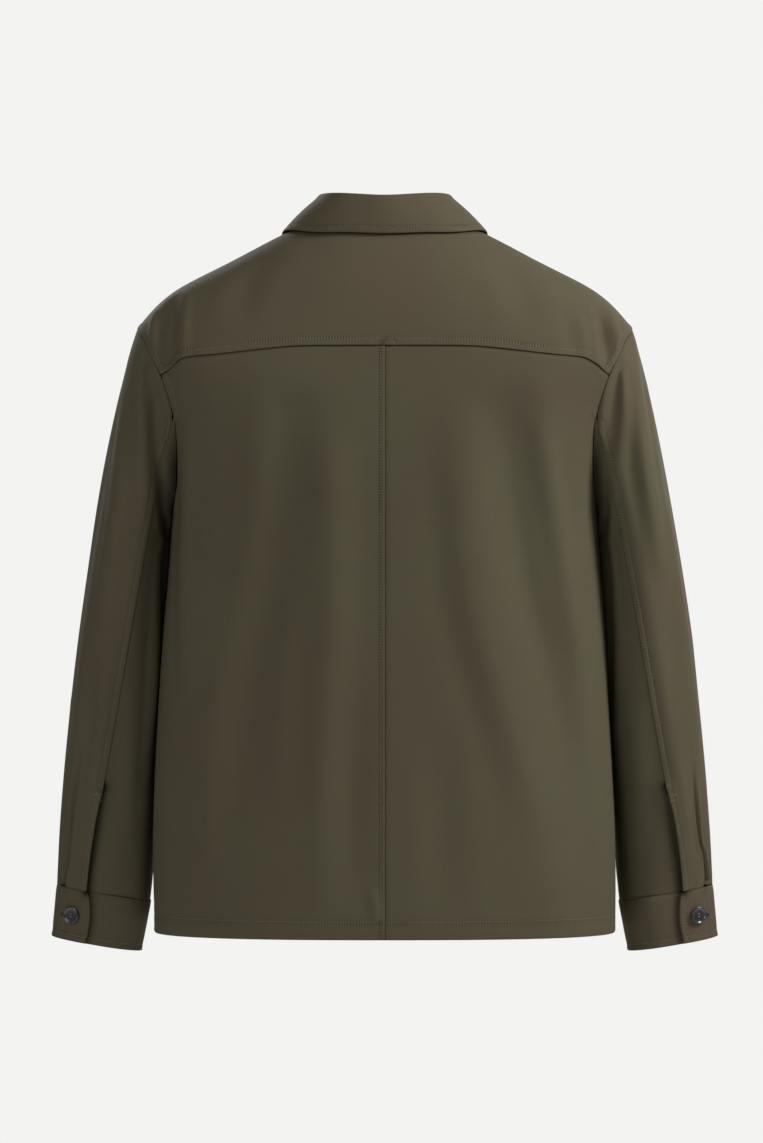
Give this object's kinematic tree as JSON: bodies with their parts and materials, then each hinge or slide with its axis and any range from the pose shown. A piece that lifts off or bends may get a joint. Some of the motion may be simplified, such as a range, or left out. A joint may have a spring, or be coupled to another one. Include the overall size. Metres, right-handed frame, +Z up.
{
  "type": "overshirt",
  "caption": "Hollow button-front overshirt with a leaf collar on a stand, yoke, two-piece long sleeves, vented buttoned cuffs and a straight hem.",
  "frame": {"origin": "middle of the neck, at the height of the collar's lower edge behind, between the two places where the yoke lies on the wearer's shoulders", "axes": "+Z up, the garment's front faces -Y and its back +Y, +X is the wearer's left"},
  "size_m": [0.6864, 0.2446, 0.7748],
  "materials": {
    "cloth": "fine brushed cotton twill, dark olive brown, soft sheen",
    "buttons": "dark four-hole buttons with a glossy raised rim"
  },
  "bodies": {
    "root": {"yoke": "cloth", "back_left": "cloth", "back_right": "cloth", "front_left": "cloth", "front_right": "cloth", "sleeve_top_left": "cloth", "sleeve_top_right": "cloth", "sleeve_under_left": "cloth", "sleeve_under_right": "cloth", "cuff_left": "cloth", "cuff_right": "cloth", "collar_stand": "cloth", "collar_leaf": "cloth", "front_button_1": "buttons", "front_button_2": "buttons", "front_button_3": "buttons", "front_button_4": "buttons", "front_button_5": "buttons", "front_button_6": "buttons", "collar_button": "buttons", "cuff_button_left": "buttons", "cuff_button_right": "buttons"}
  },
  "joints": []
}
